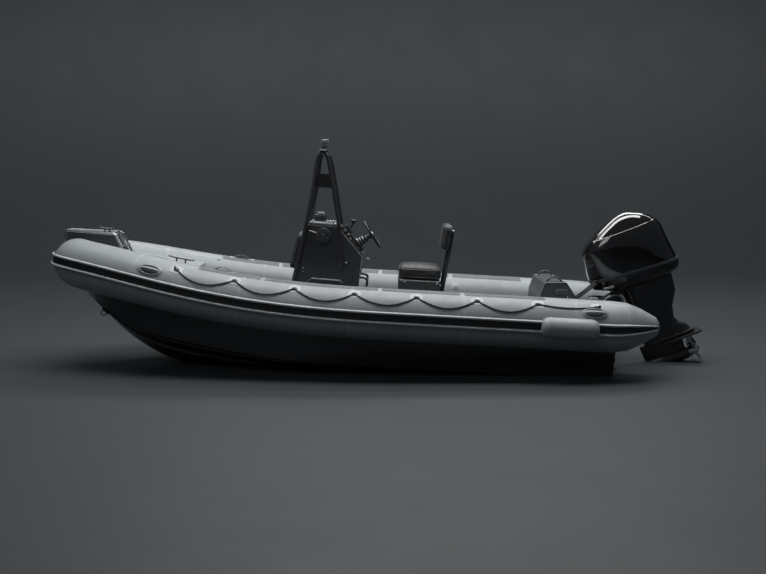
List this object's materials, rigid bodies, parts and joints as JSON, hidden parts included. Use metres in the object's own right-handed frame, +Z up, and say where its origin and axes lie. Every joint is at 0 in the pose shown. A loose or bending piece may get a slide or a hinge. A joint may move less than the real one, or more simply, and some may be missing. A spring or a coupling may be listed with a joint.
{
  "type": "inflatable rib boat",
  "caption": "Rigid-hulled inflatable boat with one grey collar, centre console, mast, helm seat, stern locker and a tilted outboard.",
  "frame": {"origin": "the water surface under the middle of the boat, as it floats with its bow up by 3.2 degrees", "axes": "+X aft, +Y to starboard, +Z up"},
  "size_m": [6.9104, 2.634, 2.6692],
  "materials": {
    "collar": "satin coated fabric",
    "rubber": "matt",
    "hull": "gelcoat",
    "deck": "non-slip",
    "moulding": "satin moulding",
    "rope": "braided",
    "rail": "black powder coat",
    "steel": "polished stainless",
    "cushion": "vinyl",
    "cowl": "gloss black",
    "leg": "black paint",
    "lamp": "lens",
    "webbing": "webbing"
  },
  "bodies": {
    "hull": {"bow_cleat": "steel", "bow_eye": "steel", "bow_rail": "steel", "bow_step": "moulding", "clamp_bracket": "leg", "compass": "rail", "console_body": "moulding", "console_top": "moulding", "dash_panel": "rail", "deck": "deck", "fore_cleat": "rail", "foredeck": "collar", "front_cushion": "cushion", "grab_strap_port": "webbing", "grab_strap_starboard": "webbing", "helm": "rubber", "horn": "rail", "lifeline_port": "rope", "lifeline_starboard": "rope", "lift_handle_bow_port": "rubber", "lift_handle_bow_starboard": "rubber", "lift_handle_stern_port": "rubber", "lift_handle_stern_starboard": "rubber", "mast_hoop_port": "rail", "mast_hoop_starboard": "rail", "mast_top_plate": "rail", "nav_light": "lamp", "rigid_hull": "hull", "rub_strake": "rubber", "seat_back_cushion": "cushion", "seat_back_frame": "rail", "seat_base": "moulding", "seat_cushion": "cushion", "side_fender_port": "collar", "side_fender_starboard": "collar", "side_rail": "steel", "stern_locker": "moulding", "throttle": "rail", "transom": "hull", "tube_collar": "collar"},
    "wheel": {"steering_wheel": "rubber"},
    "swivel": {"swivel_bracket": "leg"},
    "motor": {"leg": "leg", "lower_cowl": "leg", "upper_cowl": "cowl", "gear_case": "leg"},
    "propeller": {"propeller": "steel"},
    "ram_barrel": {"tilt_barrel": "leg"},
    "ram_rod": {"tilt_rod": "steel"}
  },
  "joints": [
    {"name": "motor_tilt", "type": "hinge", "parent": "hull", "child": "swivel", "pos_m": [2.76042, 0, 0.64692], "axis": [0, -1, 0], "range_deg": [-26, 28]},
    {"name": "motor_steer", "type": "hinge", "parent": "swivel", "child": "motor", "pos_m": [2.88194, 0, 0.69308], "axis": [-0.3551, 0, 0.9348], "range_deg": [-30, 30]},
    {"name": "prop_spin", "type": "hinge", "parent": "motor", "child": "propeller", "pos_m": [3.17917, 0, -0.08937], "axis": [0.9348, 0, 0.3551], "continuous": true},
    {"name": "wheel_turn", "type": "hinge", "parent": "hull", "child": "wheel", "pos_m": [0.28634, 0, 1.35964], "axis": [0.8499, 0, 0.527], "range_deg": [-545, 545]},
    {"name": "ram_pivot", "type": "hinge", "parent": "hull", "child": "ram_barrel", "pos_m": [2.7445, 0, 0.26721], "axis": [0, 1, 0], "range_deg": [-2.6, 2.78]},
    {"name": "ram_slide", "type": "slide", "parent": "ram_barrel", "child": "ram_rod", "axis": [0.2283, 0, 0.9736], "range_m": [-0.0337, 0.0361]}
  ],
  "couplings": [
    {"joint": "wheel_turn", "follows": "motor_steer", "ratio": -18},
    {"joint": "ram_pivot", "follows": "motor_tilt", "ratio": 0.092},
    {"joint": "ram_slide", "follows": "motor_tilt", "m_per_rad": 0.069}
  ]
}
